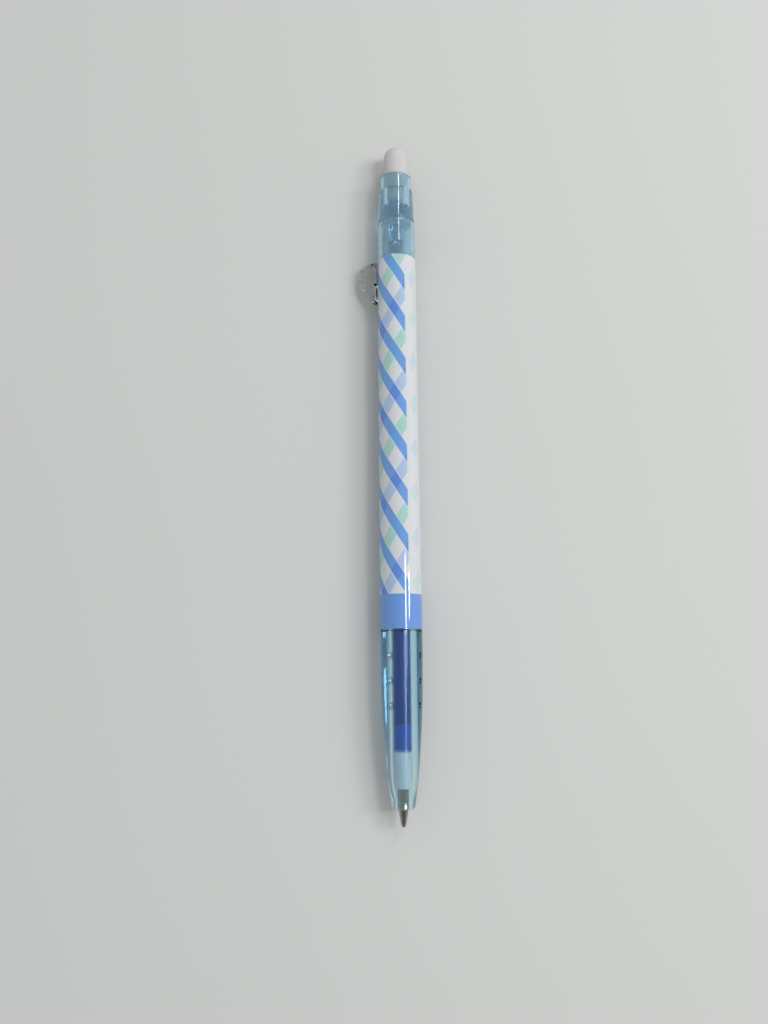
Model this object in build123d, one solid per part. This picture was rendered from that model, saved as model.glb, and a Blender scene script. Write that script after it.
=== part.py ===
from build123d import *
from math import asin, atan2, cos, degrees, hypot, pi, sin
import os

# A retractable fabric marking pen, lying on a table. Millimetres.
# Each piece is first made about the Y axis, where y is the distance from the writing point towards
# the rear, and its clip stands out along -X. lay_down() then rolls the pen until the clip's lower
# corner touches the table and puts the origin at the bottom centre of the pen's box.

# ---- Driving dimensions: lengths along the pen ----
POINT_OUT = 3.4          # metal point standing out of the nose
FRONT_LENGTH = 34.3      # front barrel, nose end to barrel joint
REAR_LENGTH = 86.1       # rear barrel, barrel joint to tail joint
TAIL_LENGTH = 10.5       # tail plug's outside, tail joint to rim
ERASER_OUT = 6.8         # rubber standing out of the tail plug
WRAP_BARE = 8.5          # bare barrel between the film's rear edge and the tail joint
GRIP_STRAIGHT = 3.9      # straight stretch of the front barrel ahead of the joint
SPIGOT_LENGTH = 7.0      # front barrel's threaded spigot inside the rear barrel
TRAVEL = 5.0             # how far the point draws back
OVERTRAVEL = 0.8         # how far a push goes past the locked place

# ---- Driving dimensions: diameters and walls ----
BARREL_D = 8.4           # at the barrel joint, the widest place
REAR_TAPER = 0.34        # what the diameter loses from the joint to the film's rear edge
TAIL_TAPER = 0.41        # what it loses from there to the tail joint
RIM_D = 6.7              # tail plug's rim
ERASER_D = 5.0
ERASER_STEM_D = 3.6
FILM_WALL = 0.06
REAR_WALL = 0.76         # rear barrel's wall at the film's rear edge
NOSE_D = 4.5             # nose end, before its rounding
NOSE_ROUND = 0.5
REFILL_D = 3.5
REFILL_WALL = 0.28
POINT_D = 2.1            # metal point's tube
BALL_D = 0.7
HOLDER_D = 3.3           # white holder's nose
SPRING_WIRE = 0.45
POINT_SPRING_WIRE = 0.14

# ---- Clearances ----
SLIP = 0.03              # radial, between pieces pressed or glued together
RUN = 0.08               # radial, running fit
FREE = 0.3               # between pieces that pass each other
END_GAP = 0.15           # end to end, between pieces that push each other
HOLE_GAP = 0.2           # radial, point tube in the nose hole

# ---- Clip, measured outwards from the pen's axis ----
CLIP_STAND = 4.22        # height over the barrel at the thumb face
CLIP_WIDTH = 3.0
CLIP_LENGTH = 8.8
CLIP_FLAT = 3.2          # straight part of its back
CLIP_CORNER = 0.6        # round of the two long outer edges
CLIP_HEEL = 1.0          # round between the thumb face and the back
CLIP_TOE = 1.3           # thickness left at its front end
CLIP_POCKET = 0.3        # extra gap under the arm, ahead of the root
CLIP_BEAD = 0.7          # length of the bead that closes the pocket
ROOT_LENGTH = 4.7
ROOT_WIDTH = 1.8
SLOT_SIDE = 0.15         # room beside the root in its slot

# ---- Push mechanism ----
SLEEVE_WALL = 0.36
SLEEVE_LENGTH = 30.0
LEG_WIDTH = 1.8
LEG_LENGTH = 3.3         # rounded legs that stand up behind the film's edge
LEG_SHOW = 1.0           # how far the legs reach past the thumb face
RIB_COUNT = 4
RIB_LENGTH = 3.6
RIB_WIDTH = 1.5
SLIDER_WALL = 1.0
CROWN_LENGTH = 4.7
CROWN_STEP = 0.6         # radius that the crown is smaller than the slider by
CROWN_WALL = 0.7
CROWN_TEETH = 8
CROWN_DEPTH = 0.5
SLIDER_LENGTH = 19.5
LUG_LENGTH = 3.0
LUG_WIDTH = 1.0
ROTOR_LENGTH = 4.6
ROTOR_STEM = 3.4
ROTOR_PILOT = 2.0
PILOT_D = 1.7
CAP_LENGTH = 4.8
CAP_PLUG = 3.0           # part of the cap pushed into the refill tube

# ---- Refill and springs ----
HOLDER_NOSE = 7.0        # white holder in sight, ahead of the refill tube
HOLDER_SPIGOT = 5.0      # holder's part inside the tube
POINT_BARE = 7.3         # point and tube ahead of the holder
POINT_GRIP = 3.6         # point tube's length inside the holder
POINT_CONE = 3.4
POINT_WALL = 0.35
INK_CHANNEL_D = 1.0
INK_LENGTH = 50.0
FOLLOWER_LENGTH = 3.0
SPRING_LENGTH = 22.0     # with the point out
SPRING_TURNS = 15
SEAT_LENGTH = 1.1
COLLAR_LENGTH = 2.0
POINT_SPRING_TURNS = 7
POINT_SPRING_LENGTH = 3.5

# ---- Grip dimples and thread ----
DIMPLE_ROWS = 4
DIMPLE_RINGS = 3
DIMPLE_FIRST = 5.1       # first ring, ahead of the joint
DIMPLE_PITCH = 4.8
DIMPLE_D = 1.1
DIMPLE_DEPTH = 0.35
DIMPLE_TURN = 79.0       # from the clip to the nearest row, degrees
THREAD_RINGS = 4
THREAD_PITCH = 1.2
THREAD_HEIGHT = 0.09
THREAD_WIDTH = 0.5

# ---- Tail ----
TAIL_STOP = 0.3          # from the drawn-back thumb face to the spigot that stops it
TAIL_SPIGOT_WALL = 0.85
GUIDE_D = 3.0            # pin on the tail plug that guides the slider
GUIDE_LENGTH = 4.5
TAIL_WEB = 3.4           # solid part between the pin and the rubber's stem
SOCKET_DEPTH = 3.2       # rim to the rubber's shoulder
STEM_LENGTH = 3.1
RIM_ROUND = 0.55
DOME_HEIGHT = 2.4

# ---- Stations along the pen, worked out ----
NOSE = POINT_OUT
JOINT = NOSE + FRONT_LENGTH
TAIL = JOINT + REAR_LENGTH
RIM = TAIL + TAIL_LENGTH
TOTAL = RIM + ERASER_OUT
THUMB = TAIL - WRAP_BARE                       # thumb face, level with the film's rear edge
ROOT_FRONT = THUMB - ROOT_LENGTH
SLOT_FRONT = ROOT_FRONT - OVERTRAVEL - FREE
CROWN_FRONT = THUMB - SLIDER_LENGTH
SLIDER_STEP = CROWN_FRONT + CROWN_LENGTH
ROTOR_REAR = CROWN_FRONT - END_GAP
ROTOR_FRONT = ROTOR_REAR - ROTOR_LENGTH
RIB_FRONT = ROTOR_REAR + FREE
CAP_REAR = ROTOR_FRONT - END_GAP
CAP_HEAD = CAP_REAR - (CAP_LENGTH - CAP_PLUG)  # rear end of the refill tube
HOLDER_FRONT = POINT_BARE
TUBE_FRONT = HOLDER_FRONT + HOLDER_NOSE
INK_FRONT = TUBE_FRONT + HOLDER_SPIGOT
SPIGOT_END = JOINT + SPIGOT_LENGTH
SEAT_FRONT = SPIGOT_END + SLIP
SPRING_FRONT = SEAT_FRONT + SEAT_LENGTH
COLLAR_FRONT = SPRING_FRONT + SPRING_LENGTH

# ---- Radii, worked out ----
BARREL_R = BARREL_D / 2
FILM_REAR_R = BARREL_R - REAR_TAPER / 2
TAIL_R = FILM_REAR_R - TAIL_TAPER / 2
UNDER_FILM = FILM_WALL + SLIP
BORE_R = FILM_REAR_R - UNDER_FILM - REAR_WALL
REFILL_R = REFILL_D / 2
TUBE_BORE_R = REFILL_R - REFILL_WALL
POINT_R = POINT_D / 2
NOSE_HOLE_R = POINT_R + HOLE_GAP
FRONT_BORE_R = REFILL_R + FREE
SLEEVE_R = BORE_R - SLIP
SLEEVE_BORE_R = SLEEVE_R - SLEEVE_WALL
SLIDER_R = SLEEVE_BORE_R - RUN
SLIDER_BORE_R = SLIDER_R - SLIDER_WALL
CROWN_R = SLIDER_R - CROWN_STEP
CROWN_BORE_R = CROWN_R - CROWN_WALL
RIB_INNER_R = CROWN_R + RUN
ROTOR_STEM_R = CROWN_BORE_R - RUN
CLIP_REACH = FILM_REAR_R + CLIP_STAND
CLIP_FLOOR = FILM_REAR_R + FREE

# ---- How the pen lies ----
# The clip's lower corner is a round of CLIP_CORNER, and the table touches it and the barrel.
CORNER_OUT = CLIP_REACH - CLIP_CORNER
CORNER_SIDE = CLIP_WIDTH / 2 - CLIP_CORNER
CORNER_ANGLE = atan2(CORNER_SIDE, CORNER_OUT)
CLIP_DROP = asin((BARREL_R - CLIP_CORNER) / hypot(CORNER_OUT, CORNER_SIDE)) - CORNER_ANGLE
CLIP_SPAN = CORNER_OUT * cos(CLIP_DROP) + CORNER_SIDE * sin(CLIP_DROP) + CLIP_CORNER
AXIS_X = (CLIP_SPAN - BARREL_R) / 2
AXIS_Z = BARREL_R


def lay_down(shape):
    """Rolls a piece about the pen's axis and puts it in its place on the table."""
    return Pos(AXIS_X, -TOTAL / 2, AXIS_Z) * Rot(0, -degrees(CLIP_DROP), 0) * shape


def turned(*outline):
    """A piece of revolution about the pen's axis, from (radius, station) points."""
    return revolve(make_face(Polyline(*outline, close=True)), Axis.Y)


def tube(outer, inner, front, rear):
    return turned((inner, front), (outer, front), (outer, rear), (inner, rear))


def rod(radius, front, rear):
    return turned((0, front), (radius, front), (radius, rear), (0, rear))


def spoke(inner, outer, width, front, rear):
    """A block that stands out along -X, from one radius to another."""
    block = Box(outer - inner, rear - front, width)
    return Pos(-(inner + outer) / 2, (front + rear) / 2, 0) * block


def around(shape, count, first=0.0):
    """Copies of a shape, evenly spaced round the pen's axis."""
    return [Rot(0, first + i * 360 / count, 0) * shape for i in range(count)]


def outer_radius(station):
    """The pen's outside between the barrel joint and the film's rear edge: a straight taper."""
    share = (station - JOINT) / (THUMB - JOINT)
    return BARREL_R + (FILM_REAR_R - BARREL_R) * share


def front_barrel():
    # The outside swells quickly from the nose and flattens into the straight stretch.
    taper_length = FRONT_LENGTH - GRIP_STRAIGHT
    steps = 8
    swell = 2.2
    outside = []
    for i in range(steps + 1):
        share = (NOSE_ROUND / taper_length) + (1 - NOSE_ROUND / taper_length) * i / steps
        radius = NOSE_D / 2 + (BARREL_R - NOSE_D / 2) * (1 - (1 - share) ** swell)
        outside.append((radius, NOSE + taper_length * share))
    nose_edge = (outside[0][0] - NOSE_ROUND, NOSE)
    spigot_r = BORE_R - RUN
    hole_end = HOLDER_FRONT - 2 * FREE - (FRONT_BORE_R - NOSE_HOLE_R)
    edges = [
        Line((NOSE_HOLE_R, NOSE), nose_edge),
        JernArc(nose_edge, (1, 0), NOSE_ROUND, 90),
        Spline(outside),
        Line(outside[-1], (BARREL_R, JOINT)),
        Polyline(
            (BARREL_R, JOINT),
            (spigot_r, JOINT),
            (spigot_r, SPIGOT_END),
            (FRONT_BORE_R, SPIGOT_END),
            (FRONT_BORE_R, hole_end + FRONT_BORE_R - NOSE_HOLE_R),
            (NOSE_HOLE_R, hole_end),
            (NOSE_HOLE_R, NOSE),
        ),
    ]
    barrel = revolve(make_face(edges), Axis.Y)
    for i in range(THREAD_RINGS):
        start = JOINT + THREAD_PITCH * (i + 1)
        barrel -= tube(spigot_r + THREAD_HEIGHT, spigot_r - THREAD_HEIGHT, start, start + THREAD_WIDTH)
    ball_r = (DIMPLE_D ** 2 / 4 + DIMPLE_DEPTH ** 2) / (2 * DIMPLE_DEPTH)
    for ring in range(DIMPLE_RINGS):
        station = JOINT - DIMPLE_FIRST - ring * DIMPLE_PITCH
        share = min(1.0, (station - NOSE) / taper_length)
        surface = NOSE_D / 2 + (BARREL_R - NOSE_D / 2) * (1 - (1 - share) ** swell)
        dimple = Pos(-(surface - DIMPLE_DEPTH + ball_r), station, 0) * Sphere(ball_r)
        barrel -= around(dimple, DIMPLE_ROWS, DIMPLE_TURN)
    return barrel


def slot_cut(front, rear):
    """The way through a wall that the clip's root slides in."""
    return spoke(0, CLIP_REACH, ROOT_WIDTH + 2 * SLOT_SIDE, front, rear)


def rear_barrel():
    mid = (THUMB + TAIL) / 2
    bare_start = (FILM_REAR_R - SLIP, THUMB + SLIP)
    bare_mid = (FILM_REAR_R - TAIL_TAPER * 0.16, mid)
    edges = [
        Polyline(
            (BORE_R, JOINT),
            (BARREL_R - UNDER_FILM, JOINT),
            (FILM_REAR_R - UNDER_FILM, THUMB + SLIP),
            bare_start,
        ),
        Spline(bare_start, bare_mid, (TAIL_R, TAIL)),
        Polyline((TAIL_R, TAIL), (BORE_R, TAIL), (BORE_R, JOINT)),
    ]
    barrel = revolve(make_face(edges), Axis.Y)
    return barrel - slot_cut(SLOT_FRONT, TAIL + FREE)


def pattern_wrap():
    front = JOINT + END_GAP
    film = turned(
        (outer_radius(front) - FILM_WALL, front),
        (outer_radius(front), front),
        (outer_radius(THUMB), THUMB),
        (outer_radius(THUMB) - FILM_WALL, THUMB),
    )
    return film - slot_cut(SLOT_FRONT, THUMB + FREE)


def tail_plug():
    start = (TAIL_R, TAIL + SLIP)
    rim_start = (RIM_D / 2, RIM - RIM_ROUND)
    bend = (RIM_D / 2 + (TAIL_R - RIM_D / 2) * 0.55, TAIL + TAIL_LENGTH * 0.62)
    socket_r = ERASER_D / 2 + SLIP
    stem_r = ERASER_STEM_D / 2 + SLIP
    shoulder = RIM - SOCKET_DEPTH
    web_rear = TAIL + TAIL_WEB
    spigot_r = BORE_R - SLIP
    spigot_bore = spigot_r - TAIL_SPIGOT_WALL
    spigot_front = THUMB + TRAVEL + TAIL_STOP
    guide_front = TAIL - GUIDE_LENGTH
    rim_edge = (RIM_D / 2 - RIM_ROUND, RIM)
    edges = [
        Spline(start, bend, rim_start),
        JernArc(rim_start, (0, 1), RIM_ROUND, 90),
        Polyline(
            rim_edge,
            (socket_r, RIM),
            (socket_r, shoulder),
            (stem_r, shoulder),
            (stem_r, web_rear),
            (0, web_rear),
            (0, guide_front),
            (GUIDE_D / 2, guide_front),
            (GUIDE_D / 2, TAIL),
            (spigot_bore, TAIL),
            (spigot_bore, spigot_front),
            (spigot_r, spigot_front),
            (spigot_r, TAIL + SLIP),
            start,
        ),
    ]
    return revolve(make_face(edges), Axis.Y)


def eraser_rubber():
    shoulder = RIM - SOCKET_DEPTH + SLIP
    stem_end = shoulder - STEM_LENGTH
    radius = ERASER_D / 2
    stem_r = ERASER_STEM_D / 2
    dome_start = (radius, TOTAL - DOME_HEIGHT)
    edges = [
        Polyline((0, TOTAL), (0, stem_end)),
        Spline((0, stem_end), (stem_r, stem_end + stem_r * 0.6), tangents=[(1, 0), (0, 1)]),
        Polyline((stem_r, stem_end + stem_r * 0.6), (stem_r, shoulder), (radius, shoulder), dome_start),
        Spline(dome_start, (0, TOTAL), tangents=[(0, 1), (-1, 0)]),
    ]
    return revolve(make_face(edges), Axis.Y)


def clip_knob():
    # Side view, radius along -X: a flat thumb face, a straight back and a long curve down to the toe.
    back = -CLIP_REACH
    toe = THUMB - CLIP_LENGTH
    under = -(CLIP_FLOOR + CLIP_POCKET)
    curve_start = (back, THUMB - CLIP_FLAT)
    toe_top = (-(CLIP_FLOOR + CLIP_TOE), toe + CLIP_CORNER / 2)
    side = [
        Polyline((-CLIP_FLOOR, THUMB), (back + CLIP_HEEL, THUMB)),
        JernArc((back + CLIP_HEEL, THUMB), (-1, 0), CLIP_HEEL, 90),
        Line((back, THUMB - CLIP_HEEL), curve_start),
        Spline(curve_start, toe_top, tangents=[(0, -1), (0.75, -1)]),
        Polyline(
            toe_top,
            (-(CLIP_FLOOR + CLIP_TOE / 2), toe),
            (-CLIP_FLOOR, toe + CLIP_CORNER / 2),
            (-CLIP_FLOOR, toe + CLIP_BEAD),
            (under, toe + CLIP_BEAD + CLIP_POCKET),
            (under, ROOT_FRONT - CLIP_POCKET),
            (-CLIP_FLOOR, ROOT_FRONT),
            (-CLIP_FLOOR, THUMB),
        ),
    ]
    block = extrude(make_face(side), CLIP_WIDTH / 2, both=True)
    # End view: the two outer corners are rounded along the whole length.
    section_height = 2 * (CLIP_REACH - CLIP_FLOOR)
    section = Plane.XZ * RectangleRounded(section_height, CLIP_WIDTH, CLIP_CORNER)
    rounder = Pos(-CLIP_FLOOR, THUMB + FREE, 0) * extrude(section, CLIP_LENGTH + 2 * FREE)
    block &= rounder
    root_inner = SLIDER_BORE_R + FREE
    root = spoke(root_inner, CLIP_FLOOR + CLIP_POCKET, ROOT_WIDTH, ROOT_FRONT, THUMB)
    return block + root


def knock_slider():
    slider = tube(SLIDER_R, SLIDER_BORE_R, SLIDER_STEP, THUMB)
    slider += tube(CROWN_R, CROWN_BORE_R, CROWN_FRONT, SLIDER_STEP + SLIP)
    pitch = 360 / CROWN_TEETH
    half_width = CROWN_R * sin(pi / CROWN_TEETH)
    notch = extrude(
        make_face(Polyline(
            (-half_width, CROWN_FRONT - SLIP),
            (half_width, CROWN_FRONT - SLIP),
            (0, CROWN_FRONT + CROWN_DEPTH),
            close=True,
        )),
        CROWN_R * 1.5,
    )
    for i in range(CROWN_TEETH):
        slider -= Rot(0, i * pitch, 0) * notch
    window = spoke(0, SLIDER_R * 1.2, ROOT_WIDTH + 2 * SLIP, ROOT_FRONT - SLIP, THUMB + SLIP)
    return slider - window


def cam_sleeve():
    rear = THUMB + LEG_SHOW - LEG_LENGTH
    front = rear - SLEEVE_LENGTH + LEG_LENGTH
    sleeve = tube(SLEEVE_R, SLEEVE_BORE_R, front, rear)
    ring = tube(SLEEVE_R, SLEEVE_BORE_R, rear - LEG_WIDTH, THUMB + LEG_SHOW)
    leg_height = LEG_LENGTH + LEG_WIDTH
    leg_shape = Plane.YZ * SlotOverall(leg_height, LEG_WIDTH)
    leg_rod = extrude(leg_shape, -2 * SLEEVE_R)
    leg = ring & (Pos(0, THUMB + LEG_SHOW - leg_height / 2, 0) * leg_rod)
    quarter = 90
    for turn in (quarter, 2 * quarter, 3 * quarter):
        sleeve += Rot(0, turn, 0) * leg
    rib = spoke(RIB_INNER_R, SLEEVE_BORE_R + SLEEVE_WALL / 2, RIB_WIDTH, RIB_FRONT, RIB_FRONT + RIB_LENGTH)
    for copy in around(rib, RIB_COUNT, 180 / RIB_COUNT):
        sleeve += copy
    return sleeve - slot_cut(SLOT_FRONT, rear + FREE)


def rotor():
    body = rod(CROWN_R, ROTOR_FRONT, ROTOR_REAR)
    body += rod(ROTOR_STEM_R, ROTOR_REAR - SLIP, ROTOR_REAR + ROTOR_STEM)
    body += rod(PILOT_D / 2, ROTOR_FRONT - ROTOR_PILOT, ROTOR_FRONT + SLIP)
    lug_r = SLEEVE_BORE_R - RUN
    lug = spoke(CROWN_R / 2, lug_r, LUG_WIDTH, ROTOR_REAR - LUG_LENGTH, ROTOR_REAR)
    slope = Pos(0, ROTOR_REAR, LUG_WIDTH / 2) * Rot(30, 0, 0) * Box(4 * lug_r, LUG_WIDTH, 4 * LUG_WIDTH)
    lug -= Pos(0, LUG_WIDTH / 2, 0) * slope
    for copy in around(lug, RIB_COUNT):
        body += copy
    return body


def refill_cap():
    head_r = REFILL_R
    plug_r = TUBE_BORE_R - SLIP
    pilot_r = PILOT_D / 2 + RUN
    pilot_end = CAP_REAR - ROTOR_PILOT - END_GAP
    return turned(
        (0, CAP_HEAD - CAP_PLUG),
        (plug_r, CAP_HEAD - CAP_PLUG),
        (plug_r, CAP_HEAD + SLIP),
        (head_r, CAP_HEAD + SLIP),
        (head_r, CAP_REAR),
        (pilot_r, CAP_REAR),
        (pilot_r, pilot_end),
        (0, pilot_end),
    )


def refill_tube():
    return tube(REFILL_R, TUBE_BORE_R, TUBE_FRONT + SLIP, CAP_HEAD)


def tip_holder():
    nose_r = HOLDER_D / 2
    spigot_r = TUBE_BORE_R - SLIP
    grip_r = POINT_R + SLIP
    grip_end = HOLDER_FRONT + POINT_GRIP
    channel_r = INK_CHANNEL_D / 2
    return turned(
        (grip_r, HOLDER_FRONT),
        (nose_r - SLIP, HOLDER_FRONT),
        (nose_r, HOLDER_FRONT + HOLDER_NOSE / 2),
        (REFILL_R, TUBE_FRONT),
        (spigot_r, TUBE_FRONT),
        (spigot_r, INK_FRONT),
        (channel_r, INK_FRONT),
        (channel_r, grip_end),
        (grip_r, grip_end),
    )


def point_tube():
    ball_r = BALL_D / 2
    lip = ball_r * 0.8
    lip_r = ball_r + 0.1
    bore_r = POINT_R - POINT_WALL
    rear = HOLDER_FRONT + POINT_GRIP - SLIP
    cone_end = lip + POINT_CONE
    feed_r = ball_r * 0.6
    shell = turned(
        (0, lip),
        (lip_r, lip),
        (POINT_R, cone_end),
        (POINT_R, rear),
        (bore_r, rear),
        (bore_r, cone_end),
        (feed_r, cone_end - POINT_CONE / 2),
        (feed_r, ball_r),
        (0, ball_r),
    )
    return shell - Pos(0, ball_r, 0) * Sphere(ball_r + SLIP)


def writing_ball():
    return Pos(0, BALL_D / 2, 0) * Sphere(BALL_D / 2)


def coil(mean_r, wire_d, front, length, turns):
    """A round-wire coil spring about the pen's axis."""
    height = length - wire_d
    path = Helix(pitch=height / turns, height=height, radius=mean_r)
    section = Plane(origin=path @ 0, z_dir=path % 0) * Circle(wire_d / 2)
    spring = sweep(section, path=path)
    return Pos(0, front + wire_d / 2, 0) * Rot(-90, 0, 0) * spring


def return_spring():
    mean_r = (REFILL_R + BORE_R) / 2
    length = SPRING_LENGTH - 2 * SLIP
    return coil(mean_r, SPRING_WIRE, SPRING_FRONT + SLIP, length, SPRING_TURNS)


def point_spring():
    mean_r = POINT_R - POINT_WALL - POINT_SPRING_WIRE
    rear = HOLDER_FRONT + POINT_GRIP - SLIP
    return coil(mean_r, POINT_SPRING_WIRE, rear - POINT_SPRING_LENGTH, POINT_SPRING_LENGTH, POINT_SPRING_TURNS)


def spring_seat():
    return tube(BORE_R - SLIP, REFILL_R + HOLE_GAP, SEAT_FRONT, SEAT_FRONT + SEAT_LENGTH)


def spring_collar():
    return tube(BORE_R - FREE, REFILL_R + SLIP, COLLAR_FRONT, COLLAR_FRONT + COLLAR_LENGTH)


def ink_column():
    return rod(TUBE_BORE_R - SLIP, INK_FRONT + SLIP, INK_FRONT + INK_LENGTH)


def ink_follower():
    front = INK_FRONT + INK_LENGTH + SLIP
    return rod(TUBE_BORE_R - SLIP, front, front + FOLLOWER_LENGTH)


pieces = {
    "front_barrel": front_barrel,
    "rear_barrel": rear_barrel,
    "pattern_wrap": pattern_wrap,
    "tail_plug": tail_plug,
    "eraser_rubber": eraser_rubber,
    "clip_knob": clip_knob,
    "knock_slider": knock_slider,
    "cam_sleeve": cam_sleeve,
    "rotor": rotor,
    "refill_cap": refill_cap,
    "refill_tube": refill_tube,
    "ink_column": ink_column,
    "ink_follower": ink_follower,
    "tip_holder": tip_holder,
    "point_tube": point_tube,
    "point_spring": point_spring,
    "writing_ball": writing_ball,
    "spring_seat": spring_seat,
    "return_spring": return_spring,
    "spring_collar": spring_collar,
}

os.makedirs("parts", exist_ok=True)
for name, make in pieces.items():
    export_step(lay_down(make()), f"parts/{name}.step")
print("axis x", round(AXIS_X, 4), "axis z", round(AXIS_Z, 4), "roll", round(degrees(CLIP_DROP), 4))
print("total", round(TOTAL, 3), "joint", round(JOINT, 3), "thumb", round(THUMB, 3), "tail", round(TAIL, 3))
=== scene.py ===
from math import asin, atan2, cos, pi, radians, sin, sqrt

import bmesh
import bpy
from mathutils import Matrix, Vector


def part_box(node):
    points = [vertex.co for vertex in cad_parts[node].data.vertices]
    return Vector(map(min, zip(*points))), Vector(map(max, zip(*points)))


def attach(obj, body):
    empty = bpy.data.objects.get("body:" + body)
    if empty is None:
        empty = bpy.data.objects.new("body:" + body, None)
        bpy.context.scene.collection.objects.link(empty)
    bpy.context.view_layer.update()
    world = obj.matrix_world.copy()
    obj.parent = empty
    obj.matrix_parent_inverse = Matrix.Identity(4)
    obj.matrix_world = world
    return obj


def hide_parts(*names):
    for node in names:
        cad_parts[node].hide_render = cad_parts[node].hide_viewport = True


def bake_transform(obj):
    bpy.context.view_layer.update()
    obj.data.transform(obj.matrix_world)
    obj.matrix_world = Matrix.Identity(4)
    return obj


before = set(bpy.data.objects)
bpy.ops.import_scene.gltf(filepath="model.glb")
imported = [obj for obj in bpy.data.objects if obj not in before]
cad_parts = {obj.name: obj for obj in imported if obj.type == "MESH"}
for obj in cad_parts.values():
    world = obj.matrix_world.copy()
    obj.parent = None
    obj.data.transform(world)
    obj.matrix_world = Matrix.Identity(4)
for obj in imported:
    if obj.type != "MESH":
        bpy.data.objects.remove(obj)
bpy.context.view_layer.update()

MM = 0.001

# ---------------------------------------------------------------------------------------------
# Where the pen lies: on its side on the table, point towards -Y, with the clip sloping down
# towards -X until its corner touches the table. Every station is a distance from the writing
# point, and every length is in millimetres unless its name or its line says otherwise.
barrel_low, barrel_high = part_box("front_barrel")
axis_x = (barrel_low[0] + barrel_high[0]) / 2
axis_z = (barrel_low[2] + barrel_high[2]) / 2
point_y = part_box("writing_ball")[0][1]


def station(node, end):
    """A CAD node's front (end 0) or rear (end 1), in mm from the writing point."""
    return (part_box(node)[end][1] - point_y) / MM


def radius_of(node):
    """Half a round CAD node's height, in mm."""
    low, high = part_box(node)
    return (high[2] - low[2]) / 2 / MM


nose = station("front_barrel", 0)
joint = station("rear_barrel", 0)
tail = station("rear_barrel", 1)
film_rear = station("pattern_wrap", 1)
rim = station("tail_plug", 1)
total = station("eraser_rubber", 1)
clip_slope = 21.15       # degrees below the horizontal
slot_turn = -pi / 2 - radians(clip_slope)


# ---------------------------------------------------------------------------------------------
# Table, camera and light: a pale matt laminate top, a large diffused lamp high on the right, two
# short strips that draw the bright lines along the grip, and a long one that lights the tail. The
# room is pale, and darker overhead for mirrored rays, which gives clear plastic its dark edges.
bpy.context.scene.view_settings.view_transform = "Standard"


def srgb(text):
    """An sRGB hex colour as linear RGBA."""
    parts = [int(text[i:i + 2], 16) / 255 for i in (1, 3, 5)]
    linear = [c / 12.92 if c <= 0.04045 else ((c + 0.055) / 1.055) ** 2.4 for c in parts]
    return tuple(linear) + (1.0,)


def add(tree, kind, settings=None, inputs=None):
    """Adds a node with its settings; inputs are values or the sockets they come from."""
    node = tree.nodes.new(kind)
    for key, value in (settings or {}).items():
        setattr(node, key, value)
    for key, value in (inputs or {}).items():
        if isinstance(value, bpy.types.NodeSocket):
            tree.links.new(value, node.inputs[key])
        else:
            node.inputs[key].default_value = value
    return node


def material(name):
    """A new material with an empty node tree and its output node."""
    new = bpy.data.materials.new(name)
    new.use_nodes = True
    new.node_tree.nodes.clear()
    return new, new.node_tree, add(new.node_tree, "ShaderNodeOutputMaterial")


camera_height = 188.0
camera_station = 30.0
camera_left = 3.5
camera_tilt = 9.5        # degrees
camera_turn = -0.57
camera_lens = 33.05
camera_data = bpy.data.cameras.new("table_camera")
camera_data.sensor_fit = "VERTICAL"
camera_data.sensor_height = 36.0
camera_data.lens = camera_lens
camera_data.clip_start = 0.01
camera = bpy.data.objects.new("table_camera", camera_data)
camera.location = (
    axis_x - camera_left * MM, point_y + camera_station * MM, axis_z + camera_height * MM)
camera.rotation_euler = (radians(camera_tilt), 0.0, radians(camera_turn))
bpy.context.scene.collection.objects.link(camera)
bpy.context.scene.camera = camera


lamp_distance = 0.75     # metres


def area_lamp(name, power, size, from_vertical, towards_rear, mirrored=True):
    """A lamp of a size in metres that faces the pen, at an angle in degrees from the vertical."""
    data = bpy.data.lights.new(name, "AREA")
    data.shape = "RECTANGLE"
    data.size, data.size_y = size
    data.energy = power
    lamp = bpy.data.objects.new(name, data)
    aim = Vector((sin(radians(from_vertical)), towards_rear, cos(radians(from_vertical))))
    lamp.location = Vector((axis_x, 0, axis_z)) + aim.normalized() * lamp_distance
    lamp.rotation_euler = aim.to_track_quat("Z", "Y").to_euler()
    lamp.visible_glossy = mirrored
    bpy.context.scene.collection.objects.link(lamp)


area_lamp("diffused_lamp", power=1.75, size=(0.24, 0.40), from_vertical=42, towards_rear=0.10,
          mirrored=False)
area_lamp("near_strip", power=0.65, size=(0.080, 0.09), from_vertical=26, towards_rear=0.046)
area_lamp("tail_strip", power=0.60, size=(0.035, 0.30), from_vertical=22, towards_rear=0.86)
area_lamp("far_strip", power=0.40, size=(0.045, 0.09), from_vertical=46, towards_rear=0.046)

room_light = 0.60
backdrop_tone = srgb("#e9eae8")
overhead_tone = srgb("#7f8488")
dim_from, dim_full = 0.10, 0.75      # heights in the sky, from 0 at the horizon to 1 overhead
dim_through = 0.45                   # how much of the dimming transmitted rays get
world = bpy.data.worlds.new("pale_room")
bpy.context.scene.world = world
world.use_nodes = True
room = world.node_tree
room.nodes.clear()
path = add(room, "ShaderNodeLightPath")
seen = add(room, "ShaderNodeMath", {"operation": "MAXIMUM"},
           {0: path.outputs["Is Camera Ray"], 1: path.outputs["Is Glossy Ray"]})
seen = add(room, "ShaderNodeMath", {"operation": "MAXIMUM"},
           {0: seen.outputs[0], 1: path.outputs["Is Transmission Ray"]})
lighting = add(room, "ShaderNodeBackground", None, {"Color": srgb("#f4f6fa"), "Strength": room_light})
looking = add(room, "ShaderNodeTexCoord")
height = add(room, "ShaderNodeSeparateXYZ", None, {0: looking.outputs["Generated"]})
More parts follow.
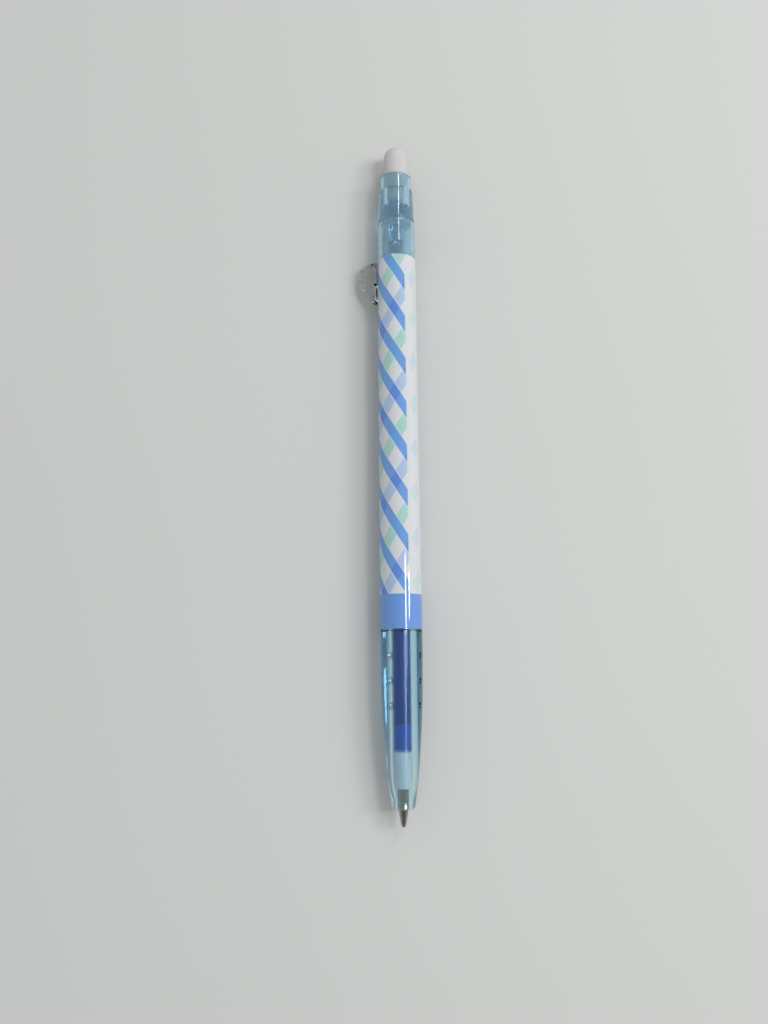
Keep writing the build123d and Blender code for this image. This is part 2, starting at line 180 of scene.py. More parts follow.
overhead = add(room, "ShaderNodeMapRange", {"clamp": True, "interpolation_type": "SMOOTHSTEP"}, {
    "Value": height.outputs[2], "From Min": dim_from, "From Max": dim_full})
straight = add(room, "ShaderNodeMath", {"operation": "MULTIPLY_ADD"},
               {0: path.outputs["Is Transmission Ray"], 1: dim_through - 1.0, 2: 1.0})
mirrored = add(room, "ShaderNodeMath", {"operation": "MULTIPLY"},
               {0: straight.outputs[0], 1: path.outputs["Is Glossy Ray"]})
dimmed = add(room, "ShaderNodeMath", {"operation": "MULTIPLY"},
             {0: overhead.outputs[0], 1: mirrored.outputs[0]})
room_tone = add(room, "ShaderNodeMix", {"data_type": "RGBA"}, {
    "Factor": dimmed.outputs[0], "A": backdrop_tone, "B": overhead_tone})
backdrop = add(room, "ShaderNodeBackground", None,
               {"Color": room_tone.outputs["Result"], "Strength": 1.0})
choose = add(room, "ShaderNodeMixShader", None,
             {0: seen.outputs[0], 1: lighting.outputs[0], 2: backdrop.outputs[0]})
add(room, "ShaderNodeOutputWorld", None, {"Surface": choose.outputs[0]})

table_half = 0.9         # metres
table_sink = 0.00002     # metres under the pen, so that they don't share a surface
table_mesh = bpy.data.meshes.new("table_top")
corners = ((-1, -1), (1, -1), (1, 1), (-1, 1))
table_mesh.from_pydata(
    [(x * table_half, y * table_half, -table_sink) for x, y in corners], [], [(0, 1, 2, 3)])
table = bpy.data.objects.new("table_top", table_mesh)
bpy.context.scene.collection.objects.link(table)
# Matt laminate: an even pale grey with a soft sheen, and faint clouds some 170 mm across.
table_top, tree, out = material("matt_laminate")
place = add(tree, "ShaderNodeTexCoord")
cloud = add(tree, "ShaderNodeTexNoise", None,
            {"Vector": place.outputs["Object"], "Scale": 6.0, "Detail": 2.0})
tone = add(tree, "ShaderNodeMix", {"data_type": "RGBA"},
           {"Factor": cloud.outputs["Fac"], "A": srgb("#cbccc8"), "B": srgb("#cfd0cc")})
skin = add(tree, "ShaderNodeBsdfPrincipled", None,
           {"Base Color": tone.outputs["Result"], "Roughness": 0.7})
tree.links.new(skin.outputs[0], out.inputs["Surface"])
table_mesh.materials.append(table_top)


# ---------------------------------------------------------------------------------------------
# Front barrel: one clear pale blue polystyrene moulding from a polished mould. It has the
# swelling nose with the point's hole, four rows of three grip dimples, and the threaded spigot
# that screws into the rear barrel.
def at(radius, turn, along):
    """A point on the pen in metres: radius and station in mm, turn from the top towards +X."""
    return (axis_x + radius * MM * sin(turn), point_y + along * MM, axis_z + radius * MM * cos(turn))


def arc(centre, radius, first, last, count=6):
    """Points of a round in an outline, angles in degrees from the radius direction."""
    angles = [radians(first + (last - first) * i / count) for i in range(count + 1)]
    return [(centre[0] + radius * cos(a), centre[1] + radius * sin(a)) for a in angles]


def spread(start, end, step):
    """Evenly spaced values from start to end, about a step apart."""
    count = max(1, round(abs(end - start) / step))
    return [start + (end - start) * i / count for i in range(count + 1)]


smooth_under = radians(35)           # two faces that meet at more than this keep a sharp edge


def finish(name, mesh, finish_material, body, replaced):
    """Puts a mesh in the scene in place of its CAD node, riding on a body if one is given."""
    mesh.materials.append(finish_material)
    mesh.polygons.foreach_set("use_smooth", [True] * len(mesh.polygons))
    piece = bpy.data.objects.new(name, mesh)
    bpy.context.scene.collection.objects.link(piece)
    mesh.set_sharp_from_angle(angle=smooth_under)
    if body:
        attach(piece, body)
    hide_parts(replaced)
    return piece


def turned(name, outline, columns=128, dent=None):
    """A closed mesh turned about the pen's axis from a closed outline of (radius, station)."""
    shape = bmesh.new()
    rings = []
    for radius, along in outline:
        if radius < 1e-6:
            rings.append([shape.verts.new(at(0, 0, along))])
            continue
        ring = []
        for i in range(columns):
            turn = 2 * pi * i / columns
            sink = dent(radius, turn, along) if dent else 0.0
            ring.append(shape.verts.new(at(radius - sink, turn, along)))
        rings.append(ring)
    pairs = list(zip(rings, rings[1:] + rings[:1]))
    for first, second in pairs:
        for i in range(columns):
            k = (i + 1) % columns
            if len(first) == 1 and len(second) == 1:
                break
            if len(first) == 1:
                shape.faces.new((first[0], second[i], second[k]))
            elif len(second) == 1:
                shape.faces.new((first[i], second[0], first[k]))
            else:
                shape.faces.new((first[i], second[i], second[k], first[k]))
    bmesh.ops.recalc_face_normals(shape, faces=shape.faces)
    mesh = bpy.data.meshes.new(name)
    shape.to_mesh(mesh)
    shape.free()
    return mesh


nose_r = 2.25
nose_round = 0.85
barrel_r = radius_of("front_barrel")
grip_straight = 3.9
grip_swell = 2.2         # the higher, the sooner the taper levels out
taper = joint - nose - grip_straight
bore_r = radius_of("spring_seat") + 0.03
refill_r = radius_of("refill_tube")
front_bore_r = refill_r + 0.3
hole_r = radius_of("point_tube") + 0.2
spigot_r = bore_r - 0.08
spigot_end = station("front_barrel", 1)
dimple_r = 0.46
dimple_depth = 0.35
dimple_squeeze = 0.72    # under 1, so each dimple is longer along the pen than round it
dimple_rows = 4
first_dimple_turn = 79   # degrees round from the slot
dimple_pitch = 4.8
first_dimple = joint - 5.1
dimples_in_row = 3
dimple_turns = [slot_turn + radians(first_dimple_turn + 90 * k) for k in range(dimple_rows)]
dimple_stations = [first_dimple - dimple_pitch * k for k in range(dimples_in_row)]
dimpled_from, dimpled_to = 18.0, 34.0
fine_step = 0.09         # ring spacing there, fine enough to round the dimples
thread_turns = 4
thread_pitch = 1.3
thread_depth = 0.12
inside_end = 5.0
bore_closing = 6.0


def grip_radius(along):
    """The front barrel's outside, swelling quickly from the nose and then levelling out."""
    share = min(1.0, max(0.0, (along - nose) / taper))
    return nose_r + (barrel_r - nose_r) * (1 - (1 - share) ** grip_swell)


def grip_dent(radius, turn, along):
    """Rounded dimples pressed into the outside of the grip."""
    if radius < grip_radius(along) - 0.3:
        return 0.0
    for row in dimple_turns:
        side = (turn - row + pi) % (2 * pi) - pi
        for place_along in dimple_stations:
            lengthwise = (along - place_along) * dimple_squeeze
            away = ((side * radius) ** 2 + lengthwise ** 2) / dimple_r ** 2
            if away < 1:
                return dimple_depth * (1 - away) ** 0.5
    return 0.0


first_round = arc((grip_radius(nose + nose_round) - nose_round, nose + nose_round), nose_round, -90, 0)
outside = [(grip_radius(s), s) for s in spread(nose + nose_round, dimpled_from, 0.4)[1:]]
outside += [(grip_radius(s), s) for s in spread(dimpled_from, dimpled_to, fine_step)[1:]]
outside += [(barrel_r, s) for s in spread(dimpled_to, joint - 0.15, 0.5)[1:]]
thread = []
for turn_number in range(thread_turns):
    groove = joint + thread_pitch + thread_pitch * turn_number
    thread += [(spigot_r, groove - 0.35), (spigot_r - thread_depth, groove - 0.15)]
    thread += [(spigot_r - thread_depth, groove + 0.15), (spigot_r, groove + 0.35)]


def inner_radius(along):
    """The bore: straight for the refill, then closing smoothly on the point's hole."""
    share = min(1.0, max(0.0, (along - inside_end) / bore_closing))
    return hole_r + (front_bore_r - hole_r) * (1 - (1 - share) ** 2)


front_outline = (
    [(hole_r, nose + 0.1)] + [(hole_r + 0.1, nose)] + first_round + outside
    + [(barrel_r - 0.04, joint - 0.11), (barrel_r - 0.15, joint), (spigot_r, joint)]
    + thread
    + [(spigot_r, spigot_end), (front_bore_r, spigot_end)]
    + [(inner_radius(s), s) for s in spread(spigot_end, inside_end, 0.8)[1:]]
)


def clear_plastic(name, tint, clarity, colour, absorb, roughness=0.02, index=1.58, wave=0.02,
                  flow_scale=(900.0, 160.0, 900.0)):
    """Clear plastic: it bends light, and is deeper in colour where it is thick.

    Its skin ripples with the flow of the melt, every 1 mm round the pen and 6 mm along it or as
    flow_scale (per metre) says, and wave is the ripple's height. What clarity leaves is haze.
    """
    clear, tree, out = material(name)
    place = add(tree, "ShaderNodeTexCoord")
    flow = add(tree, "ShaderNodeMapping", None,
               {"Vector": place.outputs["Object"], "Scale": flow_scale})
    ripple = add(tree, "ShaderNodeTexNoise", None,
                 {"Vector": flow.outputs[0], "Scale": 1.0, "Detail": 3.0, "Roughness": 0.45})
    haze = add(tree, "ShaderNodeMapRange", None,
               {"Value": ripple.outputs["Fac"], "To Min": roughness * 0.6, "To Max": roughness * 1.6})
    skin_wave = add(tree, "ShaderNodeBump", None,
                    {"Height": ripple.outputs["Fac"], "Strength": 0.35, "Distance": wave * MM})
    skin = add(tree, "ShaderNodeBsdfPrincipled", None, {
        "Base Color": tint, "Transmission Weight": clarity, "IOR": index,
        "Roughness": haze.outputs[0], "Normal": skin_wave.outputs[0]})
    tree.links.new(skin.outputs[0], out.inputs["Surface"])
    depth = add(tree, "ShaderNodeVolumeAbsorption", None, {"Color": colour, "Density": absorb})
    tree.links.new(depth.outputs[0], out.inputs["Volume"])
    return clear


# Moulded polystyrene, tinted blue in the melt: quite clear, with bright lines and blue edges.
front_plastic = clear_plastic(
    "clear_blue_polystyrene_grip", tint=srgb("#f3fcfe"), clarity=1.0,
    colour=srgb("#38dafe"), absorb=105.0, index=1.49)
finish("front_barrel_moulding", turned("front_barrel_moulding", front_outline, 320, grip_dent),
       front_plastic, "barrel", "front_barrel")


# ---------------------------------------------------------------------------------------------
# Rear barrel: a clear pale blue polystyrene tube under the printed film, with the open-ended slot
# that the clip's root slides in. Only its last few millimetres stand clear of the film.
def walled(name, stations, outer, inner, is_open, columns=160):
    """A round wall between two radius functions, left out where is_open(turn, along) says so."""
    shape = bmesh.new()
    turns = [slot_turn + 2 * pi * i / columns for i in range(columns)]
    skin = [[shape.verts.new(at(outer(s), t, s)) for s in stations] for t in turns]
    bore = [[shape.verts.new(at(inner(s), t, s)) for s in stations] for t in turns]
    rows = len(stations) - 1

    def wall(i, j):
        if j < 0 or j >= rows:
            return False
        middle = turns[i % columns] + pi / columns
        return not is_open(middle, (stations[j] + stations[j + 1]) / 2)

    for i in range(columns):
        k = (i + 1) % columns
        for j in range(rows):
            if not wall(i, j):
                continue
            shape.faces.new((skin[i][j], skin[i][j + 1], skin[k][j + 1], skin[k][j]))
            shape.faces.new((bore[i][j], bore[k][j], bore[k][j + 1], bore[i][j + 1]))
            if not wall(i, j - 1):
                shape.faces.new((skin[i][j], skin[k][j], bore[k][j], bore[i][j]))
            if not wall(i, j + 1):
                shape.faces.new((skin[i][j + 1], bore[i][j + 1], bore[k][j + 1], skin[k][j + 1]))
            if not wall(i - 1, j):
                shape.faces.new((skin[i][j], bore[i][j], bore[i][j + 1], skin[i][j + 1]))
            if not wall(i + 1, j):
                shape.faces.new((skin[k][j], skin[k][j + 1], bore[k][j + 1], bore[k][j]))
    loose = [v for v in shape.verts if not v.link_faces]
    bmesh.ops.delete(shape, geom=loose, context="VERTS")
    bmesh.ops.recalc_face_normals(shape, faces=shape.faces)
    mesh = bpy.data.meshes.new(name)
    shape.to_mesh(mesh)
    shape.free()
    return mesh


film_rear_r = barrel_r - 0.17
tail_r = film_rear_r - 0.205
slot_half_width = 1.05
slot_half = asin(slot_half_width / film_rear_r)
root_length = 4.7
overpush = 0.8           # how far a push goes past the latched place
slot_gap = 0.3
slot_front = station("clip_knob", 1) - root_length - overpush - slot_gap


def in_slot(turn, along):
    """Whether a place on the wall is in the slot, which is open at the tail."""
    side = (turn - slot_turn + pi) % (2 * pi) - pi
    return abs(side) < slot_half and along > slot_front


def barrel_outside(along):
    """The bare tube's outside: a straight taper under the film, then a rounded fall to the tail."""
    if along <= film_rear + 0.03:
        share = (along - joint) / (film_rear - joint)
        return barrel_r + (film_rear_r - barrel_r) * share - 0.09
    share = (along - film_rear) / (tail - film_rear)
    rounded_end = max(0.0, along - tail + 0.18) ** 2 * 2.5
    return film_rear_r - 0.03 - (film_rear_r - 0.03 - tail_r) * share ** 1.5 - rounded_end


barrel_stations = (spread(joint, slot_front, 2.0) + spread(slot_front, film_rear, 1.0)[1:]
                   + spread(film_rear + 0.05, tail - 0.2, 0.5) + [tail - 0.12, tail - 0.06, tail])
# The same polystyrene, a little hazier from scuffs inside and out, and deeper in blue.
tube_tint = srgb("#ddf6ff")
tube_blue = srgb("#3fd4fd")
rear_plastic = clear_plastic(
    "clear_blue_polystyrene_tube", tint=tube_tint, clarity=0.91, colour=tube_blue, absorb=125.0)
rear_mesh = walled("rear_barrel_tube", barrel_stations, barrel_outside, lambda s: bore_r, in_slot)
finish("rear_barrel_tube", rear_mesh, rear_plastic, "barrel", "rear_barrel")


# ---------------------------------------------------------------------------------------------
# Printed film: a thin glossy film shrunk round the rear barrel and cut out along the slot. It is
# printed with slanting bands that cross like plaid, with a paler panel down one side and a solid
# blue band by the joint.
film_front = station("pattern_wrap", 0)
film_stations = spread(film_front, slot_front, 1.5) + spread(slot_front, film_rear, 1.0)[1:]


def film_outside(along):
    """The film's outside, a straight taper from the joint to its rear edge."""
    share = (along - joint) / (film_rear - joint)
    return barrel_r + (film_rear_r - barrel_r) * share


band_period = 9.09       # mm along the pen, from one band to the next
band_slope = 1.571       # mm along the pen for each mm round it
blue_half = 0.95         # half widths, measured square to the band
cross_half = 1.08
white_edge = 0.16
blue_start = 2.45
mint_start = 77.5
solid_band_end = 44.6
panel_start = radians(23.5)
panel_end = radians(100)
panel_paleness = 0.62    # how much of the cross bands the panel takes away
soft_edge = 0.05         # how far ink spreads at a printed edge
wrap_r = 4.1             # the radius at which lengths round the film are measured
film_thickness = 0.06

# Gloss-laminated polypropylene film: flat even inks under a clear skin that is glossier than they
# are, with faint stretch lines (2 mm by 14 mm) and a grain of 0.4 mm, drawn coarse enough to show.
printed_film, tree, out = material("printed_gloss_film")


def calc(operation, first, second=0.0, third=0.0):
    """One step of the print's arithmetic."""
    step = add(tree, "ShaderNodeMath", {"operation": operation}, {0: first, 1: second, 2: third})
    return step.outputs[0]


def inside(distance, half):
    """1 where a distance is under a half width, and 0 past its soft edge."""
    edge = add(tree, "ShaderNodeMapRange", {"clamp": True}, {
        "Value": distance, "From Min": half - soft_edge, "From Max": half + soft_edge,
        "To Min": 1.0, "To Max": 0.0})
    return edge.outputs[0]


def print_over(under, over, amount):
    """One ink printed over another."""
    return add(tree, "ShaderNodeMix", {"data_type": "RGBA"},
               {"Factor": amount, "A": under, "B": over}).outputs["Result"]


place = add(tree, "ShaderNodeTexCoord")
split = add(tree, "ShaderNodeSeparateXYZ", None, {0: place.outputs["Object"]})
side_x = calc("SUBTRACT", split.outputs[0], axis_x)
side_z = calc("SUBTRACT", split.outputs[2], axis_z)
angle = calc("ARCTAN2", side_x, side_z)
round_mm = calc("MULTIPLY", angle, wrap_r)
along_mm = calc("DIVIDE", calc("SUBTRACT", split.outputs[1], point_y), MM)
square = sin(atan2(1.0, band_slope))     # from a length along the pen to one square to a band


def from_band(slope, start):
    """How far a point is from its nearest band's middle, in mm, and that band's number."""
    slanted = calc("MULTIPLY_ADD", round_mm, slope, along_mm)
    number = calc("DIVIDE", calc("SUBTRACT", slanted, start), band_period)
    nearest = calc("ROUND", number)
    gap = calc("ABSOLUTE", calc("SUBTRACT", number, nearest))
    return calc("MULTIPLY", gap, band_period * square), nearest


blue_gap = from_band(band_slope, blue_start)[0]
cross_gap, cross_number = from_band(-band_slope, mint_start)
is_pale = calc("ABSOLUTE", calc("MODULO", cross_number, 2.0))
in_cross = inside(cross_gap, cross_half)
in_blue = inside(blue_gap, blue_half)
near_blue = inside(blue_gap, blue_half + white_edge)
past_start = calc("GREATER_THAN", angle, panel_start)
before_end = calc("LESS_THAN", angle, panel_end)
in_panel = calc("MULTIPLY", past_start, before_end)
from_panel = calc("ABSOLUTE", calc("SUBTRACT", round_mm, panel_start * wrap_r))
panel_line = inside(from_panel, 0.10)
off_panel = calc("SUBTRACT", 1.0, in_panel)
cross_colour = print_over(srgb("#a3cdc4"), srgb("#a9bfdb"), is_pale)
cross_amount = calc("MULTIPLY", in_cross, calc("SUBTRACT", 1.0, near_blue))
kept_cross = calc("SUBTRACT", 1.0, calc("MULTIPLY", in_panel, panel_paleness))
cross_amount = calc("MULTIPLY", cross_amount, kept_cross)
white_ink = srgb("#d2d5d7")
ground = print_over(white_ink, cross_colour, cross_amount)
blue_on_cross = print_over(srgb("#629ed5"), srgb("#5d88d4"), is_pale)
blue_colour = print_over(srgb("#6a9ad8"), blue_on_cross, in_cross)
paper = print_over(ground, blue_colour, calc("MULTIPLY", in_blue, off_panel))
paper = print_over(paper, white_ink, calc("MULTIPLY", panel_line, 0.8))
in_solid = inside(along_mm, solid_band_end)
paper = print_over(paper, srgb("#6794d6"), in_solid)
grain = add(tree, "ShaderNodeTexNoise", None,
            {"Vector": place.outputs["Object"], "Scale": 2600.0, "Detail": 2.0})
paper = add(tree, "ShaderNodeMix", {"data_type": "RGBA", "blend_type": "MULTIPLY"}, {
    "Factor": calc("MULTIPLY", grain.outputs["Fac"], 0.10), "A": paper,
    "B": srgb("#c9ccd0")}).outputs["Result"]
stretch = add(tree, "ShaderNodeMapping", None,
              {"Vector": place.outputs["Object"], "Scale": (500.0, 70.0, 500.0)})
ripple = add(tree, "ShaderNodeTexNoise", None,
             {"Vector": stretch.outputs[0], "Scale": 1.0, "Detail": 2.0})
film_bump = add(tree, "ShaderNodeBump", None,
                {"Height": ripple.outputs["Fac"], "Strength": 0.2, "Distance": 0.01 * MM})
gloss = add(tree, "ShaderNodeMapRange", None,
            {"Value": grain.outputs["Fac"], "To Min": 0.45, "To Max": 0.6})
skin = add(tree, "ShaderNodeBsdfPrincipled", None, {
    "Base Color": paper, "Roughness": gloss.outputs[0], "IOR": 1.35, "Coat Weight": 0.8,
    "Coat Roughness": 0.045, "Normal": film_bump.outputs[0], "Coat Normal": film_bump.outputs[0]})
tree.links.new(skin.outputs[0], out.inputs["Surface"])
film_mesh = walled("pattern_film", film_stations, film_outside,
                   lambda s: film_outside(s) - film_thickness, in_slot, 192)
finish("pattern_film", film_mesh, printed_film, "barrel", "pattern_wrap")


# ---------------------------------------------------------------------------------------------
# Tail plug: clear pale blue polystyrene, pressed into the rear barrel. It has a rounded rim, a
# stepped socket for the rubber, a short spigot, and a pin in the middle inside the slider.
rim_r = 3.35
rim_round = 0.55
eraser_r = radius_of("eraser_rubber")
stem_r = 1.83
shoulder = rim - 3.2
web_rear = tail + 3.4
plug_front = station("tail_plug", 0)
pin_r = 1.5
plug_spigot_r = bore_r - 0.30
plug_spigot_length = 0.8


def tail_outside(along):
    """The plug's outside: it falls away faster the nearer it comes to the rim."""
    share = (along - tail) / (rim - rim_round - tail)
    return tail_r - (tail_r - rim_r) * (0.55 * share + 0.45 * share ** 2.4)


plug_outline = (
    [(0, plug_front), (pin_r - 0.2, plug_front), (pin_r - 0.06, plug_front + 0.06)]
    + [(pin_r, plug_front + 0.2), (pin_r, tail), (plug_spigot_r, tail)]
    + [(plug_spigot_r, tail - plug_spigot_length), (bore_r - 0.03, tail - plug_spigot_length)]
    + [(bore_r - 0.03, tail + 0.03)]
    + [(tail_r - 0.22, tail + 0.03), (tail_r - 0.08, tail + 0.07), (tail_r, tail + 0.2)]
    + [(tail_outside(s), s) for s in spread(tail + 0.2, rim - rim_round, 0.3)[1:-1]]
    + arc((rim_r - rim_round, rim - rim_round), rim_round, 0, 90, 8)
    + [(eraser_r + 0.12, rim), (eraser_r + 0.03, rim - 0.1), (eraser_r + 0.03, shoulder)]
    + [(stem_r, shoulder), (stem_r, web_rear + 0.2), (stem_r - 0.2, web_rear), (0, web_rear)]
)
# The tube's plastic again, less deep in blue because this moulding is solid.
tail_plastic = clear_plastic(
    "clear_blue_polystyrene_plug", tint=tube_tint, clarity=0.92, colour=tube_blue, absorb=78.0)
tail_mesh = turned("tail_plug_moulding", plug_outline, 144)
finish("tail_plug_moulding", tail_mesh, tail_plastic, "barrel", "tail_plug")


# ---------------------------------------------------------------------------------------------
# Rubbing dome: a pale translucent rubber moulding with a stem, pushed into the tail plug. Rubbing
# cloth or paper with it makes the heat that clears the ink, so its end is faintly matt and worn.
dome_height = 2.4
dome_fullness = 0.92     # under 1, so the dome is fuller than a ball's end
worn_length = 2.2
rubber_stem_r = 1.8
stem_end = shoulder - 3.1 + 0.03
rubber_outline = (
    [(0, stem_end), (0.6, stem_end + 0.03), (1.2, stem_end + 0.22), (1.6, stem_end + 0.55)]
    + [(rubber_stem_r, stem_end + 1.05), (rubber_stem_r, shoulder + 0.03), (eraser_r, shoulder + 0.03)]
    + [(eraser_r, s) for s in spread(shoulder + 0.4, total - dome_height, 0.5)]
    + [(eraser_r * cos(radians(a)) ** dome_fullness, total - dome_height + dome_height * sin(radians(a)))
       for a in range(6, 90, 6)]
    + [(0, total)]
)
# Translucent elastomer: pale and softly shaded, because light goes about a millimetre in, with a
# matt skin that is mottled every 0.7 mm or so, and greyer where the end has rubbed.
pale_rubber, tree, out = material("translucent_elastomer")
place = add(tree, "ShaderNodeTexCoord")
split = add(tree, "ShaderNodeSeparateXYZ", None, {0: place.outputs["Object"]})
speck = add(tree, "ShaderNodeTexNoise", None,
            {"Vector": place.outputs["Object"], "Scale": 1500.0, "Detail": 3.0})
worn = add(tree, "ShaderNodeMapRange", {"clamp": True}, {
    "Value": split.outputs[1], "From Min": point_y + (total - worn_length) * MM,
    "From Max": point_y + total * MM, "To Min": 0.0, "To Max": 1.0})
smudge = add(tree, "ShaderNodeMath", {"operation": "MULTIPLY"},
             {0: worn.outputs[0], 1: speck.outputs["Fac"]})
tone = add(tree, "ShaderNodeMix", {"data_type": "RGBA"},
           {"Factor": smudge.outputs[0], "A": srgb("#c9c6c5"), "B": srgb("#bab8b6")})
matt = add(tree, "ShaderNodeMapRange", None,
           {"Value": speck.outputs["Fac"], "To Min": 0.42, "To Max": 0.6})
grit = add(tree, "ShaderNodeBump", None,
           {"Height": speck.outputs["Fac"], "Strength": 0.25, "Distance": 0.01 * MM})
skin = add(tree, "ShaderNodeBsdfPrincipled", None, {
    "Base Color": tone.outputs["Result"], "Roughness": matt.outputs[0], "IOR": 1.45,
    "Subsurface Weight": 0.6, "Subsurface Radius": (1.0, 0.95, 0.9), "Subsurface Scale": 0.0012,
    "Normal": grit.outputs[0]})
tree.links.new(skin.outputs[0], out.inputs["Surface"])
dome_mesh = turned("rubbing_dome", rubber_outline, 96)
finish("rubbing_dome", dome_mesh, pale_rubber, "barrel", "eraser_rubber")


# ---------------------------------------------------------------------------------------------
# Clip: one colourless clear polycarbonate moulding. Its flat rear face is the thumb push, its back
# curves down to a toe that comes back to the barrel, and its root goes through the slot.
clip_rear = station("clip_knob", 1)
clip_front = station("clip_knob", 0)
clip_reach = film_rear_r + 4.22
clip_floor = film_rear_r + 0.3
clip_width = 3.0
clip_corner = 1.1        # rounding of the long side edges
clip_heel = 1.7          # rounding between the thumb face and the back
clip_flat = 3.2          # the back's straight part
pocket = 0.3             # hollow under the clip, for cloth
root_front = clip_rear - root_length
root_inner = radius_of("knock_slider") - 1.0 + 0.3
root_half = 0.82
toe_top = (clip_floor + 1.3, clip_front + 0.3)
back_start = (clip_reach, clip_rear - clip_flat)


def back_curve(share):
    """The clip's back from its straight part to its toe: a curve that leaves the back square."""
    low = toe_top
    bend = (clip_reach, clip_rear - clip_flat - 3.0)
    a = [(1 - share) * back_start[i] + share * bend[i] for i in (0, 1)]
    b = [(1 - share) * bend[i] + share * low[i] for i in (0, 1)]
    return ((1 - share) * a[0] + share * b[0], (1 - share) * a[1] + share * b[1])


heel_centre = (clip_reach - clip_heel, clip_rear - clip_heel)
side_view = (
    [(clip_floor, clip_rear)]
    + [(heel_centre[0] + clip_heel * sin(radians(a)), heel_centre[1] + clip_heel * cos(radians(a)))
       for a in range(0, 91, 10)]
    + [back_curve(i / 14) for i in range(15)]
    + [(clip_floor + 0.95, clip_front + 0.06), (clip_floor + 0.6, clip_front)]
    + [(clip_floor + 0.25, clip_front + 0.06), (clip_floor, clip_front + 0.3)]
    + [(clip_floor, clip_front + 0.7), (clip_floor + pocket, clip_front + 1.0)]
    + [(clip_floor + pocket, root_front - pocket), (clip_floor, root_front)]
)


def in_clip(outwards, sideways, along):
    """A point of the clip: distance from the axis, offset from the clip's middle, station."""
    x = outwards * sin(slot_turn) + sideways * cos(slot_turn)
    z = outwards * cos(slot_turn) - sideways * sin(slot_turn)
    return (axis_x + x * MM, point_y + along * MM, axis_z + z * MM)


def inset(points, depth):
    """The side view drawn in by a depth, except along the floor, which stays at its height."""
    drawn = []
    for i, (out, along) in enumerate(points):
        before, after = points[i - 1], points[(i + 1) % len(points)]
        step_out, step_along = after[0] - before[0], after[1] - before[1]
        length = sqrt(step_out ** 2 + step_along ** 2)
        share = depth * min(1.0, max(0.0, (out - clip_floor - 0.2) / 1.2))
        drawn.append((out + share * step_along / length, along - share * step_out / length))
    return drawn


rounds = [radians(a) for a in range(0, 91, 15)]
layers = [(-(clip_width / 2 - clip_corner + clip_corner * sin(a)), clip_corner * (1 - cos(a)))
          for a in rounds[::-1]]
layers += [(-sideways, depth) for sideways, depth in layers[::-1]]
shape = bmesh.new()
rims = [[shape.verts.new(in_clip(r, sideways, s)) for r, s in inset(side_view, depth)]
        for sideways, depth in layers]
shape.faces.new(rims[0])
shape.faces.new(list(reversed(rims[-1])))
for first, second in zip(rims, rims[1:]):
    for i in range(len(side_view)):
        k = (i + 1) % len(side_view)
        shape.faces.new((first[k], first[i], second[i], second[k]))
root = [(root_inner, clip_rear - 0.05), (clip_floor + 0.02, clip_rear - 0.05)]
root += [(clip_floor + 0.02, root_front + 0.02), (root_inner, root_front + 0.02)]
rims = [[shape.verts.new(in_clip(r, sideways, s)) for r, s in root]
        for sideways in (-root_half, root_half)]
shape.faces.new(rims[0])
shape.faces.new(list(reversed(rims[1])))
for i in range(len(root)):
    k = (i + 1) % len(root)
    shape.faces.new((rims[0][k], rims[0][i], rims[1][i], rims[1][k]))
bmesh.ops.recalc_face_normals(shape, faces=shape.faces)
clip_mesh = bpy.data.meshes.new("clip_push")
shape.to_mesh(clip_mesh)
shape.free()
# Polycarbonate, uncoloured: strong reflections and bent light, with 2 mm waves in its thick body.
clip_plastic = clear_plastic(
    "clear_polycarbonate", tint=srgb("#fefeff"), clarity=1.0, colour=srgb("#eaf3f8"),
    absorb=12.0, index=1.585, wave=0.22, flow_scale=(520.0, 420.0, 520.0))
finish("clip_push", clip_mesh, clip_plastic, "knock", "clip_knob")


# ---------------------------------------------------------------------------------------------
# Refill: an extruded polypropylene tube of dark blue ink, the white moulded holder pushed into its
# front, and the turned nickel silver point with its ground ball.
overlap = 0.01           # of ink and holder with the bore, so that no air shows between them
tube_wall = 0.28
tube_front = station("refill_tube", 0)
tube_rear = station("refill_tube", 1)
tube_bore = refill_r - tube_wall
filled_r = tube_bore + overlap
tube_outline = [(tube_bore, tube_front), (refill_r, tube_front)]
tube_outline += [(refill_r, s) for s in spread(tube_front, tube_rear, 4.0)[1:]]
tube_outline += [(tube_bore, s) for s in spread(tube_rear, tube_front, 4.0)[:-1]]
# Extruded polypropylene: nearly colourless and satin. Its low IOR keeps the ink's zone even, as a
# wetted bore does.
tube_plastic = clear_plastic(
    "extruded_polypropylene", tint=srgb("#ffffff"), clarity=1.0, colour=srgb("#e7f3fc"),
    absorb=40.0, roughness=0.12, index=1.33)
tube_mesh = turned("refill_tube_wall", tube_outline, 72)
finish("refill_tube_wall", tube_mesh, tube_plastic, "refill", "refill_tube")

ink_front = station("ink_column", 0)
ink_rear = station("ink_column", 1)
ink_outline = [(0, ink_front)]
ink_outline += [(filled_r, s) for s in spread(ink_front, ink_rear, 2.0)]
ink_outline += [(0, ink_rear)]
# Gel ink: an opaque deep blue with faint streaks along the tube, about 0.7 mm by 4 mm.
blue_ink, tree, out = material("gel_ink")
place = add(tree, "ShaderNodeTexCoord")
streak = add(tree, "ShaderNodeMapping", None,
             {"Vector": place.outputs["Object"], "Scale": (1400.0, 260.0, 1400.0)})
smear = add(tree, "ShaderNodeTexNoise", None,
            {"Vector": streak.outputs[0], "Scale": 1.0, "Detail": 3.0})
tone = add(tree, "ShaderNodeMix", {"data_type": "RGBA"},
           {"Factor": smear.outputs["Fac"], "A": srgb("#183ca8"), "B": srgb("#2450ba")})
skin = add(tree, "ShaderNodeBsdfPrincipled", None,
           {"Base Color": tone.outputs["Result"], "Roughness": 0.35})
tree.links.new(skin.outputs[0], out.inputs["Surface"])
ink_mesh = turned("gel_ink_column", ink_outline, 64)
finish("gel_ink_column", ink_mesh, blue_ink, "refill", "ink_column")

